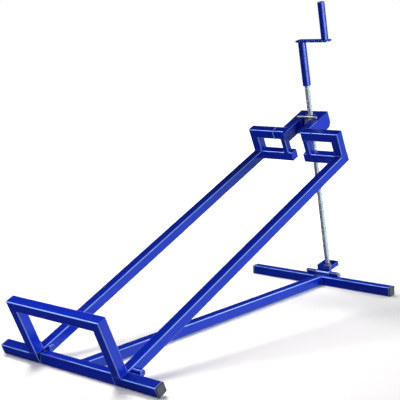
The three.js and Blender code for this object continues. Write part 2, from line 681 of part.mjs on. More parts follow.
// The middle knuckle has a lug that carries the front edge of the tray.
function trayKnuckle() {
  const half = MIDDLE_KNUCKLE_LENGTH / 2;
  const bore = boreRadius(PIVOT_BOLT_RADIUS, RUNNING_CLEARANCE);
  const barrel = turned("x", ringProfile(bore, KNUCKLE_RADIUS, -half, half), 0, 0);
  const trayFront = SPINDLE_SETBACK - TRAY_SIZE / 2;
  const lug = new THREE.Shape();
  lug.moveTo(-KNUCKLE_RADIUS / 2, 0);
  lug.lineTo(trayFront + KNUCKLE_RADIUS, 0);
  lug.lineTo(trayFront + KNUCKLE_RADIUS, TRAY_RISE - WELD_GAP);
  lug.lineTo(-KNUCKLE_RADIUS / 2, TRAY_RISE - WELD_GAP);
  lug.closePath();
  const block = extrudeAlongX(lug, -half + EDGE_CHAMFER, half - EDGE_CHAMFER, 1);
  return cut(join(barrel, [block]), [turned("x", drillProfile(bore, -half, half), 0, 0)]);
}

function thrustRing() {
  const bore = boreRadius(JOURNAL_RADIUS, RUNNING_CLEARANCE);
  const from = TRAY_FLOOR + WELD_GAP;
  const profile = ringProfile(bore, THRUST_RING_RADIUS, from, from + THRUST_RING_HEIGHT);
  return turned("z", profile, 0, SPINDLE_SETBACK);
}

function liftScrew() {
  const journalStart = TRAY_RISE - WELD_GAP - LOCK_NUT_HEIGHT - EDGE_CHAMFER;
  const profile = [
    [0, journalStart],
    [JOURNAL_RADIUS - EDGE_CHAMFER, journalStart],
    [JOURNAL_RADIUS, journalStart + EDGE_CHAMFER],
    [JOURNAL_RADIUS, SCREW_START],
    [SCREW_RADIUS - EDGE_CHAMFER, SCREW_START],
    [SCREW_RADIUS, SCREW_START + EDGE_CHAMFER],
    [SCREW_RADIUS, SCREW_END - EDGE_CHAMFER],
    [SCREW_RADIUS - EDGE_CHAMFER, SCREW_END],
    [0, SCREW_END],
  ];
  return turned("z", profile, 0, SPINDLE_SETBACK);
}

function footLockNut() {
  const top = TRAY_RISE - WELD_GAP;
  const nut = hexagon("z", top - LOCK_NUT_HEIGHT, top, LOCK_NUT_RADIUS, 0, SPINDLE_SETBACK);
  const hole = boreRadius(JOURNAL_RADIUS, WELD_GAP);
  return cut(nut, [turned("z", drillProfile(hole, top - LOCK_NUT_HEIGHT, top), 0, SPINDLE_SETBACK)]);
}

function nutBlock() {
  const low = SPINDLE.nutRise - NUT_HEIGHT / 2;
  const high = SPINDLE.nutRise + NUT_HEIGHT / 2;
  const block = bar("z", low, high, NUT_WIDTH, NUT_DEPTH, TUBE_CORNER / 2, 0, SPINDLE_SETBACK);
  const reach = FORK_INNER + HALF_TUBE - LOCK_PIN_RADIUS - TRUNNION_END_GAP;
  const trunnionProfile = chamferedRod(TRUNNION_RADIUS, -reach, reach);
  const trunnions = turned("x", trunnionProfile, SPINDLE_SETBACK, SPINDLE.nutRise);
  const bore = boreRadius(SCREW_RADIUS, RUNNING_CLEARANCE);
  return cut(join(block, [trunnions]), [turned("z", drillProfile(bore, low, high), 0, SPINDLE_SETBACK)]);
}

function crankSocket() {
  const bore = boreRadius(SCREW_RADIUS, WELD_GAP);
  const profile = ringProfile(bore, SOCKET_RADIUS, SOCKET_START, SOCKET_START + SOCKET_LENGTH);
  return turned("z", profile, 0, 0);
}

function crankBar() {
  const length = CRANK_THROW + 2 * CRANK_BAR_OVERHANG;
  const width = CRANK_BAR_WIDTH;
  const blank = bar("z", CRANK_BAR_START, CRANK_BAR_END, length, width, CRANK_BAR_CORNER, CRANK_THROW / 2, 0);
  const hole = boreRadius(GRIP_PIN_RADIUS, WELD_GAP);
  return cut(blank, [turned("z", drillProfile(hole, CRANK_BAR_START, CRANK_BAR_END), CRANK_THROW, 0)]);
}

// The grip turns on a pin set in the crank bar. The pin's head keeps the grip's bush on it.
function gripPin() {
  const headStart = CRANK_BAR_END + GRIP_PLAY + GRIP_BUSH_LENGTH + GRIP_PLAY;
  const headEnd = headStart + GRIP_PIN_HEAD_LENGTH;
  const profile = [
    [0, CRANK_BAR_START],
    [GRIP_PIN_RADIUS, CRANK_BAR_START],
    [GRIP_PIN_RADIUS, headStart],
    [GRIP_PIN_HEAD_RADIUS, headStart],
    [GRIP_PIN_HEAD_RADIUS, headEnd],
    [0, headEnd],
  ];
  return turned("z", profile, CRANK_THROW, 0);
}

function crankGrip() {
  const start = CRANK_BAR_END + GRIP_PLAY;
  const end = start + GRIP_LENGTH;
  const bush = boreRadius(GRIP_PIN_RADIUS, RUNNING_CLEARANCE);
  const profile = [
    [bush, start],
    [GRIP_RADIUS - EDGE_CHAMFER, start],
    [GRIP_RADIUS, start + EDGE_CHAMFER],
    [GRIP_RADIUS, end - EDGE_CHAMFER],
    [GRIP_RADIUS - EDGE_CHAMFER, end],
    [0, end],
    [0, end - GRIP_WALL],
    [GRIP_RADIUS - GRIP_WALL, end - GRIP_WALL],
    [GRIP_RADIUS - GRIP_WALL, start + GRIP_BUSH_LENGTH],
    [bush, start + GRIP_BUSH_LENGTH],
  ];
  return turned("z", profile, CRANK_THROW, 0);
}

const lift = new THREE.Group();
lift.add(footFrame());
lift.add(tiltingFrame());
lift.add(spindle());

export default lift;
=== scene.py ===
import json
from math import cos, pi, radians, sin

import bmesh
import bpy
from mathutils import Matrix, Vector


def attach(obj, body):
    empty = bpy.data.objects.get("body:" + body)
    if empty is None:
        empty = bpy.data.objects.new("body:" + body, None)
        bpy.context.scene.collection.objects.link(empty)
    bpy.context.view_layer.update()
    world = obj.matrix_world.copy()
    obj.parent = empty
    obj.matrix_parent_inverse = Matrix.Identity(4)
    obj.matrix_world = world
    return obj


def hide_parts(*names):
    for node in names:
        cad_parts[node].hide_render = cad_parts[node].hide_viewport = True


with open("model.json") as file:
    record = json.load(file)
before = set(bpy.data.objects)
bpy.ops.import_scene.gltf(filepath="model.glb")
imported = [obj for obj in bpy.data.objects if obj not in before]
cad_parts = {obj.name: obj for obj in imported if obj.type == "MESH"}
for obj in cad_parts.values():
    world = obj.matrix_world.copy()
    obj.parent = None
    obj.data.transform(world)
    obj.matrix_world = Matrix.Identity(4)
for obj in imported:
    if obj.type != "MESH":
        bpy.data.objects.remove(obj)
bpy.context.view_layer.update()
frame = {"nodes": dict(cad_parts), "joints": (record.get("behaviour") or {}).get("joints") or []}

bl_info = {
    "name": "Lawn mower lift",
    "version": (1, 0, 0),
    "blender": (4, 5, 0),
    "location": "3D View > Sidebar > Lift",
    "description": "Finishes the lift's painted tubes, welds, caps and spindle "
                   "and sets up its studio",
    "category": "Object",
}

SIDES = {"left": -1, "right": 1}
JOINTS = {joint["name"]: joint for joint in frame["joints"]}
ALONG_X = Vector((1, 0, 0))
SECTIONS = {"x": (1, 2, 0), "y": (2, 0, 1), "z": (0, 1, 2)}  # two axes across a run, and its own
ENDINGS = {"blue_paint": "painted", "zinc_plating": "plated"}  # of the pieces' names

TUBE_CORNER = 0.004  # outer corner of the square tubes
HALF_GAP = 0.00015  # half the gap between two welded solids, where a bead has its middle
BEAD_STEP = 0.0011  # distance between two sections of a bead
LOW_BEAD = 0.0007  # height of a bead between flush faces
HIGH_BEAD = 0.0024  # height of a bead in an inner corner
ROOT_BEAD = 0.0009  # height of the bead between a stop and its fork root
SUNK_BEAD = 0.0  # a bead that is ground off, towards the floor
THIN_BEAD = 0.00005  # least height that a bead keeps
BEAD_HIGHLIGHT = 0.06  # how far a bead takes the light edge colour, a painted highlight
ROOT_BEAD_HIGHLIGHT = 0.3  # the same for the left root's bead, whose painted highlight shows as a light line
MERGE = 1e-6  # vertices nearer than this are made one
SHARP = radians(35)  # an edge that turns more than this is rounded
FLAT = radians(0.4)  # faces that turn less than this are made one
FULL_TILT = 0.29  # how far the largest part of a normal falls short of 1 half way round an edge
CORNER_STEPS = 4  # sections of a bead round one corner of a tube
TURNED_STEPS = 40  # faces round a turned piece


def standing_axes(origin, up):
    """Axes of a member that leans in the lift's middle plane: x stays, z points along up."""
    up = Vector(up).normalized()
    axes = Matrix((ALONG_X, up.cross(ALONG_X), up)).transposed().to_4x4()
    axes.translation = Vector(origin)
    return axes


FLOOR = Matrix.Identity(4)
HINGE = standing_axes(JOINTS["lift_hinge"]["pos_m"], JOINTS["lock_pin_pull"]["axis"])
PIVOT = standing_axes(JOINTS["spindle_tilt"]["pos_m"], JOINTS["nut_travel"]["axis"])
SPINDLE = standing_axes(JOINTS["screw_turn"]["pos_m"], JOINTS["nut_travel"]["axis"])


def node_box(node, axes):
    """Lowest and highest corner of a CAD node, measured along the given axes."""
    into = axes.inverted()
    points = [into @ vertex.co for vertex in frame["nodes"][node].data.vertices]
    low = Vector([min(point[i] for point in points) for i in range(3)])
    high = Vector([max(point[i] for point in points) for i in range(3)])
    return low, high


class LiftSteelSettings(bpy.types.PropertyGroup):
    edge_round: bpy.props.FloatProperty(
        name="Edge rounding", description="Radius of the softened edges on plates and tube ends",
        default=0.0009, min=0.0002, max=0.003, unit="LENGTH")
    weld_width: bpy.props.FloatProperty(
        name="Weld width", description="Width of a weld bead between two tubes",
        default=0.0056, min=0.002, max=0.012, unit="LENGTH")
    weld_ripple: bpy.props.FloatProperty(
        name="Weld ripple", description="Distance from one ripple of a weld bead to the next",
        default=0.0026, min=0.001, max=0.008, unit="LENGTH")


class LiftSpindleSettings(bpy.types.PropertyGroup):
    thread_pitch: bpy.props.FloatProperty(
        name="Thread pitch", description="Rise of the trapezoidal thread in one turn",
        default=0.004, min=0.003, max=0.010, unit="LENGTH")
    thread_depth: bpy.props.FloatProperty(
        name="Thread depth", description="Depth of the trapezoidal thread",
        default=0.0013, min=0.0005, max=0.004, unit="LENGTH")


class LiftPaintSettings(bpy.types.PropertyGroup):
    colour: bpy.props.FloatVectorProperty(
        name="Paint colour", description="Colour of the blue powder coat",
        subtype="COLOR", size=3, min=0, max=1, default=(0.001, 0.017, 0.44))
    # painted highlight: this colour stands in for the light that the rounded edges reflect, not
    # for a thinner coat
    edge_highlight_colour: bpy.props.FloatVectorProperty(
        name="Edge highlight colour", description="Colour of the coat where it is thin on rounded edges",
        subtype="COLOR", size=3, min=0, max=1, default=(0.34, 0.48, 1.0))
    roughness: bpy.props.FloatProperty(
        name="Paint roughness", description="Roughness of the powder coat",
        subtype="FACTOR", default=0.20, min=0, max=1)


class LiftMetalSettings(bpy.types.PropertyGroup):
    zinc: bpy.props.FloatVectorProperty(
        name="Zinc colour", description="Colour of the bright zinc plating",
        subtype="COLOR", size=3, min=0, max=1, default=(0.92, 0.84, 0.76))
    cap: bpy.props.FloatVectorProperty(
        name="Cap colour", description="Colour of the moulded end caps",
        subtype="COLOR", size=3, min=0, max=1, default=(0.012, 0.012, 0.014))


class LiftStageSettings(bpy.types.PropertyGroup):
    floor: bpy.props.FloatVectorProperty(
        name="Floor colour", description="Colour of the studio floor",
        subtype="COLOR", size=3, min=0, max=1, default=(0.99, 0.91, 0.87))
    key_power: bpy.props.FloatProperty(
        name="Key power", description="Power of the large light behind the lift on its right",
        default=1500, min=0, unit="POWER")
    azimuth: bpy.props.FloatProperty(
        name="Camera azimuth", description="Angle of the camera round the lift",
        subtype="ANGLE", default=radians(40.7797914))
    elevation: bpy.props.FloatProperty(
        name="Camera elevation", description="Angle of the camera above the horizon",
        subtype="ANGLE", default=radians(9.8989099))
    roll: bpy.props.FloatProperty(
        name="Camera roll", description="Turn of the camera about its own line of sight",
        subtype="ANGLE", default=radians(-1.5901638))
    lens: bpy.props.FloatProperty(
        name="Focal length", description="Focal length of the camera in millimetres",
        default=91.8655, min=10, unit="CAMERA")
    place: bpy.props.FloatVectorProperty(
        name="Camera place", description="Where the camera stands",
        subtype="TRANSLATION", default=(2.509657, -2.259397, 1.174799))


# Node groups


def node_group(name, sockets):
    """An empty shader node group with the named inputs and outputs."""
    group = bpy.data.node_groups.new(name, "ShaderNodeTree")
    for label, direction, kind, default in sockets:
        socket = group.interface.new_socket(name=label, in_out=direction, socket_type=kind)
        if default is not None:
            socket.default_value = default
    return group, group.nodes.new("NodeGroupInput"), group.nodes.new("NodeGroupOutput")


def add_node(tree, kind, inputs=None, **settings):
    """A node with its settings, and its inputs set to values or linked to other sockets."""
    node = tree.nodes.new(kind)
    for key, value in settings.items():
        setattr(node, key, value)
    for key, value in (inputs or {}).items():
        if isinstance(value, bpy.types.NodeSocket):
            tree.links.new(value, node.inputs[key])
        else:
            node.inputs[key].default_value = value
    return node


def surface_grain_group():
    """Height of a coated surface: a fine peel or grain over a slow waviness."""
    group, given, result = node_group("Surface grain", (
        ("Vector", "INPUT", "NodeSocketVector", None),
        ("Fine scale", "INPUT", "NodeSocketFloat", 600.0),
        ("Broad scale", "INPUT", "NodeSocketFloat", 40.0),
        ("Broad share", "INPUT", "NodeSocketFloat", 0.3),
        ("Height", "OUTPUT", "NodeSocketFloat", None),
    ))
    fine = add_node(group, "ShaderNodeTexNoise", {
        "Vector": given.outputs["Vector"], "Scale": given.outputs["Fine scale"],
        "Detail": 2.0, "Roughness": 0.55})
    broad = add_node(group, "ShaderNodeTexNoise", {
        "Vector": given.outputs["Vector"], "Scale": given.outputs["Broad scale"], "Detail": 1.0})
    mix = add_node(group, "ShaderNodeMix", {
        0: given.outputs["Broad share"], 2: fine.outputs[0], 3: broad.outputs[0]},
        data_type="FLOAT")
    group.links.new(mix.outputs[0], result.inputs["Height"])
    return group


def soft_patches_group():
    """A colour that drifts softly to a second one in broad patches, with the patches as a mask."""
    group, given, result = node_group("Soft patches", (
        ("Vector", "INPUT", "NodeSocketVector", None),
        ("Color", "INPUT", "NodeSocketColor", (0.5, 0.5, 0.5, 1)),
        ("Patch color", "INPUT", "NodeSocketColor", (0.5, 0.5, 0.5, 1)),
        ("Amount", "INPUT", "NodeSocketFloat", 0.3),
        ("Scale", "INPUT", "NodeSocketFloat", 8.0),
        ("Color", "OUTPUT", "NodeSocketColor", None),
        ("Mask", "OUTPUT", "NodeSocketFloat", None),
    ))
    noise = add_node(group, "ShaderNodeTexNoise", {
        "Vector": given.outputs["Vector"], "Scale": given.outputs["Scale"],
        "Detail": 4.0, "Roughness": 0.6})
    spread = add_node(group, "ShaderNodeMapRange", {
        "Value": noise.outputs[0], "From Min": 0.38, "From Max": 0.66},
        interpolation_type="SMOOTHSTEP")
    share = add_node(group, "ShaderNodeMath", {
        0: spread.outputs[0], 1: given.outputs["Amount"]}, operation="MULTIPLY")
    mix = add_node(group, "ShaderNodeMix", {
        0: share.outputs[0], 6: given.outputs["Color"], 7: given.outputs["Patch color"]},
        data_type="RGBA")
    group.links.new(mix.outputs[2], result.inputs["Color"])
    group.links.new(spread.outputs[0], result.inputs["Mask"])
    return group


def edge_highlight_and_wear_group():
    """A second colour along the marked rounded edges, broken by noise; a painted highlight on
    paint and caps.
    """
    group, given, result = node_group("Edge highlight and wear", (
        ("Vector", "INPUT", "NodeSocketVector", None),
        ("Color", "INPUT", "NodeSocketColor", (0.5, 0.5, 0.5, 1)),
        ("Edge color", "INPUT", "NodeSocketColor", (0.8, 0.8, 0.8, 1)),
        ("Edge", "INPUT", "NodeSocketFloat", 0.0),
        ("Amount", "INPUT", "NodeSocketFloat", 0.5),
        ("Scale", "INPUT", "NodeSocketFloat", 30.0),
        ("Color", "OUTPUT", "NodeSocketColor", None),
        ("Mask", "OUTPUT", "NodeSocketFloat", None),
    ))
    noise = add_node(group, "ShaderNodeTexNoise", {
        "Vector": given.outputs["Vector"], "Scale": given.outputs["Scale"],
        "Detail": 3.0, "Roughness": 0.6})
    broken = add_node(group, "ShaderNodeMapRange", {
        "Value": noise.outputs[0], "From Min": 0.3, "From Max": 0.7, "To Min": 0.7, "To Max": 1.0})
    ridge = add_node(group, "ShaderNodeMapRange", {
        "Value": given.outputs["Edge"], "From Min": 0.04, "From Max": 0.2},
        interpolation_type="SMOOTHSTEP")
    edge_highlight_and_wear = add_node(group, "ShaderNodeMath", {
        0: ridge.outputs[0], 1: broken.outputs[0]}, operation="MULTIPLY")
    share = add_node(group, "ShaderNodeMath", {
        0: edge_highlight_and_wear.outputs[0], 1: given.outputs["Amount"]}, operation="MULTIPLY")
    mix = add_node(group, "ShaderNodeMix", {
        0: share.outputs[0], 6: given.outputs["Color"], 7: given.outputs["Edge color"]},
        data_type="RGBA")
    group.links.new(mix.outputs[2], result.inputs["Color"])
    group.links.new(share.outputs[0], result.inputs["Mask"])
    return group


BUILT = {}


def built_once(maker):
    """The node group or material that a function makes, made the first time it is asked for."""
    if maker not in BUILT:
        BUILT[maker] = maker()
    return BUILT[maker]


# Finishes


def new_material(name, colour):
    """A material of the colour, with its tree, its shader and the piece's own coordinates."""
    material = bpy.data.materials.new(name)
    material.use_nodes = True
    material.diffuse_color = (*colour, 1)
    tree = material.node_tree
    place = add_node(tree, "ShaderNodeTexCoord").outputs["Object"]
    return material, tree, tree.nodes["Principled BSDF"], place


def shade(colour, share):
    """A colour made darker or lighter, with its alpha."""
    return (*[channel * share for channel in colour], 1)


def edge_highlight_and_wear_finish(name, colour, patches, edges, roughness, grain, bump):
    """A finish whose colour drifts in patches and changes on the marked edges, which on the paint
    and the caps is a painted highlight. The patches reach into the roughness, and a grain raises
    the surface. Each dictionary holds a node's inputs."""
    material, tree, shader, place = new_material(name, colour)
    drift = add_node(tree, "ShaderNodeGroup", {"Vector": place, "Color": (*colour, 1), **patches},
                     node_tree=built_once(soft_patches_group))
    marked = add_node(tree, "ShaderNodeAttribute", attribute_name="edge")
    edge_highlight_and_wear = add_node(tree, "ShaderNodeGroup", {
        "Vector": place, "Color": drift.outputs["Color"], "Edge": marked.outputs["Fac"], **edges},
        node_tree=built_once(edge_highlight_and_wear_group))
    tree.links.new(edge_highlight_and_wear.outputs["Color"], shader.inputs["Base Color"])
    smooth, rough = roughness
    spread = add_node(tree, "ShaderNodeMapRange", {
        "Value": drift.outputs["Mask"], "To Min": smooth, "To Max": rough})
    tree.links.new(spread.outputs[0], shader.inputs["Roughness"])
    raised = add_node(tree, "ShaderNodeGroup", {"Vector": place, **grain},
                      node_tree=built_once(surface_grain_group))
    bumped = add_node(tree, "ShaderNodeBump", {"Height": raised.outputs["Height"], **bump})
    tree.links.new(bumped.outputs[0], shader.inputs["Normal"])
    return material, tree, shader, edge_highlight_and_wear


def blue_powder_coat():
    """Glossy blue powder coat with a fine orange peel, a painted highlight on rounded edges, which
    are partly metallic.
    """
    paint = bpy.context.scene.lift_paint
    material, tree, shader, edge_highlight_and_wear = edge_highlight_and_wear_finish(
        "blue_powder_coat", paint.colour,
        patches={"Patch color": shade(paint.colour, 0.88), "Amount": 0.5, "Scale": 3.0},
        # painted highlight: the rounded edges take the light edge highlight colour
        edges={"Edge color": (*paint.edge_highlight_colour, 1), "Amount": 0.9, "Scale": 9.0},
        roughness=(paint.roughness - 0.04, paint.roughness + 0.07),
        grain={"Fine scale": 520.0, "Broad scale": 46.0, "Broad share": 0.15},
        bump={"Distance": 0.0005, "Strength": 0.25})
    thin = add_node(tree, "ShaderNodeMath", {0: edge_highlight_and_wear.outputs["Mask"], 1: 0.3},
                    operation="MULTIPLY")
    tree.links.new(thin.outputs[0], shader.inputs["Metallic"])
    shader.inputs["IOR"].default_value = 1.5
    return material


def bright_zinc():
    """Bright zinc plated steel with a fine grain and a faint cloudiness."""
    zinc = bpy.context.scene.lift_metal.zinc
    material, _, shader, _ = edge_highlight_and_wear_finish(
        "bright_zinc", zinc,
        patches={"Patch color": shade(zinc, 0.7), "Amount": 0.6, "Scale": 60.0},
        edges={"Edge color": (0.85, 0.86, 0.88, 1), "Amount": 0.5},
        roughness=(0.2, 0.32),
        grain={"Fine scale": 1400.0, "Broad scale": 120.0},
        bump={"Distance": 0.0002, "Strength": 0.25})
    shader.inputs["Metallic"].default_value = 0.75
    return material


def black_moulding():
    """Moulded black plastic with a fine grain, and a grey painted highlight along the rims."""
    cap = bpy.context.scene.lift_metal.cap
    return edge_highlight_and_wear_finish(
        "black_moulding", cap,
        patches={"Patch color": shade(cap, 2.6), "Amount": 0.5, "Scale": 90.0},
        # painted highlight: the rims are greyed
        edges={"Edge color": (0.16, 0.16, 0.17, 1), "Amount": 0.5},
        roughness=(0.42, 0.58),
        grain={"Fine scale": 1800.0, "Broad scale": 260.0},
        bump={"Distance": 0.0003, "Strength": 0.5})[0]


FINISHES = {
    "blue_paint": blue_powder_coat, "zinc_plating": bright_zinc, "black_cap": black_moulding}


# Shaping


def soften(bm, rounding):
    """Rounds every sharp edge."""
    sharp = [e for e in bm.edges if len(e.link_faces) == 2 and e.calc_face_angle() > SHARP]
    bmesh.ops.bevel(bm, geom=sharp, offset=rounding, offset_type="OFFSET", affect="EDGES",
                    segments=3, profile=0.5, material=-1, clamp_overlap=True)


def mark_edges(bm, round_about=None, run=None):
    """Writes how far each vertex stands on a rounded edge. On a turned piece only its rims count,
    and on a member that is welded at its ends only the edges along its run."""
    bm.normal_update()
    # this edge value is the mask where the finishes lay their edge colour, a painted highlight on
    # the paint and the caps
    edge = bm.verts.layers.float.new("edge")
    for vertex in bm.verts:
        normal = vertex.normal
        if round_about:
            share = normal["xyz".index(round_about)] ** 2
            vertex[edge] = min(1.0, 4 * share * (1 - share))
        else:
            tilt = 1 - max(abs(value) for value in normal)
            ends = abs(normal["xyz".index(run)]) if run else 0.0
            vertex[edge] = min(1.0, tilt / FULL_TILT) * max(0.0, 1 - 3 * ends)


def mark_rims(bm, run):
    """Marks the rims at both ends of a tube for the painted edge highlight, fading out over a
    short reach.
    """
    reach = 0.0026
    edge = bm.verts.layers.float["edge"]
    axis = "xyz".index(run)
    along = [vertex.co[axis] for vertex in bm.verts]
    normal = Vector([float(i == axis) for i in range(3)])
    for end, turn in ((min(along), 1), (max(along), -1)):
        bmesh.ops.bisect_plane(bm, geom=bm.verts[:] + bm.edges[:] + bm.faces[:], dist=MERGE,
                               plane_co=normal * (end + turn * reach), plane_no=normal)
        for vertex in bm.verts:
            if abs(vertex.co[axis] - end) < 0.6 * reach:
                vertex[edge] = 1.0


def place_piece(name, bm, axes, slot, body, nodes=()):
    """Ends a piece: its place goes into its mesh, it takes its finish and body, and its nodes are
    hidden.
    """
    bmesh.ops.transform(bm, matrix=axes, verts=bm.verts)
    for face in bm.faces:
        face.smooth = True
    mesh = bpy.data.meshes.new(name)
    bm.to_mesh(mesh)
    bm.free()
    mesh.materials.append(built_once(FINISHES[slot]))
    piece = bpy.data.objects.new(name, mesh)
    bpy.context.scene.collection.objects.link(piece)
    shading = piece.modifiers.new("Flat faces stay flat", "WEIGHTED_NORMAL")
    shading.keep_sharp = True
    shading.weight = 100
    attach(piece, body)
    if nodes:
        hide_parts(*nodes)


def softened_copy(node, axes, body, slot="blue_paint", rounding=None, round_about=None, run=None,
                  rims=False):
    """A copy of a CAD node with its triangles merged and its sharp edges rounded."""
    bm = bmesh.new()
    bm.from_mesh(frame["nodes"][node].data)
    bmesh.ops.transform(bm, matrix=axes.inverted(), verts=bm.verts)
    bmesh.ops.remove_doubles(bm, verts=bm.verts, dist=MERGE)
    bmesh.ops.dissolve_limit(bm, angle_limit=FLAT, verts=bm.verts, edges=bm.edges)
    soften(bm, rounding or bpy.context.scene.lift_steel.edge_round)
    mark_edges(bm, round_about, run)
    if rims:
        mark_rims(bm, run)
    place_piece(f"{node}_{ENDINGS[slot]}", bm, axes, slot, body, [node])


def carry(bm, path, closed=False, segments=8):
    """Sweeps a ring of radius 1 along a list of placing matrices."""
    start = bmesh.ops.create_circle(bm, segments=segments, radius=1.0, matrix=path[0])["verts"]
    first = list(dict.fromkeys(edge for vertex in start for edge in vertex.link_edges))
    edges = first
    for before, after in zip(path, path[1:]):
        grown = bmesh.ops.extrude_edge_only(bm, edges=edges)["geom"]
        verts = {item for item in grown if isinstance(item, bmesh.types.BMVert)}
        edges = [item for item in grown
                 if isinstance(item, bmesh.types.BMEdge) and verts.issuperset(item.verts)]
        bmesh.ops.transform(bm, matrix=after @ before.inverted(), verts=list(verts))
    if closed:
        bmesh.ops.bridge_loops(bm, edges=first + edges)
    else:
        bmesh.ops.holes_fill(bm, edges=first + edges, sides=0)


def ring_axes(place, outward, along, half_height, half_width):
    """Placing matrix of one ring: it lies square to the path, high outward and wide across."""
    outward = outward.normalized()
    along = along.normalized()
    across = along.cross(outward)
    axes = Matrix((outward * half_height, across * half_width, along)).transposed().to_4x4()
    axes.translation = place
    return axes


def ripple(distance):
    """Swell of a weld bead at a distance along it: its ripples and two slower, weaker waves."""
    pitch = bpy.context.scene.lift_steel.weld_ripple
    waves = ((0.13, 2 * pi / pitch), (0.07, 173.0), (0.04, 611.0))
    return 1 + sum(height * sin(rate * distance) for height, rate in waves)


def around_tube(width, height):
    """Points round a tube's section, each with its outward direction."""
    a, b = width / 2 - TUBE_CORNER, height / 2 - TUBE_CORNER
    middles = [Vector(middle) for middle in ((a, b), (-a, b), (-a, -b), (a, -b))]
    points = []
    for quarter, middle in enumerate(middles):
        for i in range(CORNER_STEPS + 1):
            angle = (quarter + i / CORNER_STEPS) * pi / 2
            outward = Vector((cos(angle), sin(angle)))
            points.append((middle + TUBE_CORNER * outward, outward))
        start = points[-1][0]
        end = middles[(quarter + 1) % 4] + TUBE_CORNER * outward
        steps = max(1, round((end - start).length / BEAD_STEP))
        points += [(start.lerp(end, i / steps), outward) for i in range(1, steps)]
    return points


def seam(bm, node, axes, run, end, proud):
    """A weld bead round a tube at its low (0) or high (1) end along its run. proud is the bead's
    height on the tube's sides: +first, +second, -first, -second of the two axes across."""
    first, second, length = SECTIONS[run]
    low, high = node_box(node, axes)
    middle = (low + high) / 2
    middle[length] = (low, high)[end][length] + (HALF_GAP if end else -HALF_GAP)
    turn = Matrix([[float(axis == row) for axis in SECTIONS[run]] for row in range(3)])
    half_width = bpy.context.scene.lift_steel.weld_width / 2
    points = around_tube(high[first] - low[first], high[second] - low[second])
    path = []
    distance = 0
    last = points[0][0]
    for point, outward in points:
        distance += (point - last).length
        last = point
        height = sum(proud[i if outward[i] > 0 else i + 2] * outward[i] ** 2 for i in (0, 1))
        swell = ripple(distance)
        path.append(ring_axes(
            middle + turn @ point.to_3d(), turn @ outward.to_3d(),
            turn @ Vector((-outward.y, outward.x, 0)),
            max(height, THIN_BEAD) * swell, half_width * (0.6 + 0.4 * swell)))
    carry(bm, path, closed=True)


def straight_bead(bm, start, end, outward, half_height, half_width):
    """An open weld bead with tapered ends."""
    start, end, outward = Vector(start), Vector(end), Vector(outward)
    along = end - start
    length = along.length
    steps = max(6, round(length / BEAD_STEP))
    path = []
    for i in range(steps + 1):
        share = i / steps
        from_end = min(share, 1 - share) * length
        swell = ripple(share * length) * min(1.0, 0.25 + 0.75 * from_end / (2 * half_width))
        path.append(ring_axes(
            start.lerp(end, share), outward, along, half_height * swell, half_width * swell))
    carry(bm, path)


def finish_beads(name, bm, axes, body, highlight_share=BEAD_HIGHLIGHT):
    """Ends a set of weld beads. shine is their share of the light edge colour, a painted
    highlight.
    """
    bmesh.ops.recalc_face_normals(bm, faces=bm.faces)
    edge = bm.verts.layers.float.new("edge")
    for vertex in bm.verts:
        vertex[edge] = highlight_share
    place_piece(name, bm, axes, "blue_paint", body)


def add_turned(bm, profile):
    """Adds a piece turned about z from a profile of (radius, height) that starts and ends at 0."""
    turned = bmesh.new()
    verts = [turned.verts.new((radius, 0, height)) for radius, height in profile]
    edges = [turned.edges.new(pair) for pair in zip(verts, verts[1:])]
    bmesh.ops.spin(turned, geom=verts + edges, cent=(0, 0, 0), axis=(0, 0, 1), angle=2 * pi,
                   steps=TURNED_STEPS, use_merge=True)
    bmesh.ops.remove_doubles(turned, verts=turned.verts, dist=MERGE)
    bmesh.ops.recalc_face_normals(turned, faces=turned.faces)
    mesh = bpy.data.meshes.new("turned")
    turned.to_mesh(mesh)
    turned.free()
    bm.from_mesh(mesh)
    bpy.data.meshes.remove(mesh)


# Operators


class LiftOperator:
    bl_options = {"REGISTER", "UNDO"}


class LIFT_OT_foot_frame(LiftOperator, bpy.types.Operator):
    """Finish the tubes that lie on the floor"""
    bl_idname = "mower_lift.foot_frame"
    bl_label = "Foot frame"

    def execute(self, context):
        for node in ("front_bar", "rear_tube"):
            softened_copy(node, FLOOR, "foot_frame", run="x", rims=True)
        softened_copy("beam", FLOOR, "foot_frame", run="y")
        return {"FINISHED"}


class LIFT_OT_hoop(LiftOperator, bpy.types.Operator):
    """Finish the foot stubs and the hoop that stands on them"""
    bl_idname = "mower_lift.hoop"
    bl_label = "Hoop"

    def execute(self, context):
        for word in SIDES:
            softened_copy(f"foot_stub_{word}", HINGE, "tilting_frame", run="x", rims=True)
            softened_copy(f"hoop_leg_{word}", HINGE, "tilting_frame", run="z")
        softened_copy("hoop_top_bar", HINGE, "tilting_frame", run="x")
        return {"FINISHED"}


class LIFT_OT_rails(LiftOperator, bpy.types.Operator):
    """Finish the two rails"""
    bl_idname = "mower_lift.rails"
    bl_label = "Rails"

    def execute(self, context):
        for word in SIDES:
            softened_copy(f"rail_{word}", HINGE, "tilting_frame", run="y")
        return {"FINISHED"}


class LIFT_OT_wheel_stops(LiftOperator, bpy.types.Operator):
    """Finish the windowed stops at the rails' ends"""
    bl_idname = "mower_lift.wheel_stops"
    bl_label = "Wheel stops"

    def execute(self, context):
        runs = {"outer_post": "z", "top_bar": "x", "inner_post": "z", "lower_bar": "x"}
        for word in SIDES:
            for part, run in runs.items():
                softened_copy(f"stop_{part}_{word}", HINGE, "tilting_frame", run=run)
        return {"FINISHED"}


class LIFT_OT_fork(LiftOperator, bpy.types.Operator):
    """Finish the fork that carries the nut"""
    bl_idname = "mower_lift.fork"
    bl_label = "Fork"

    def execute(self, context):
        runs = {"root": "x", "arm": "y", "flange": "y", "cheek": "y"}
        parts = [(f"fork_{part}_{word}", run) for word in SIDES for part, run in runs.items()]
        for node, run in (*parts, ("fork_bridge", "x")):
            softened_copy(node, HINGE, "tilting_frame", rounding=0.002, run=run)
        return {"FINISHED"}


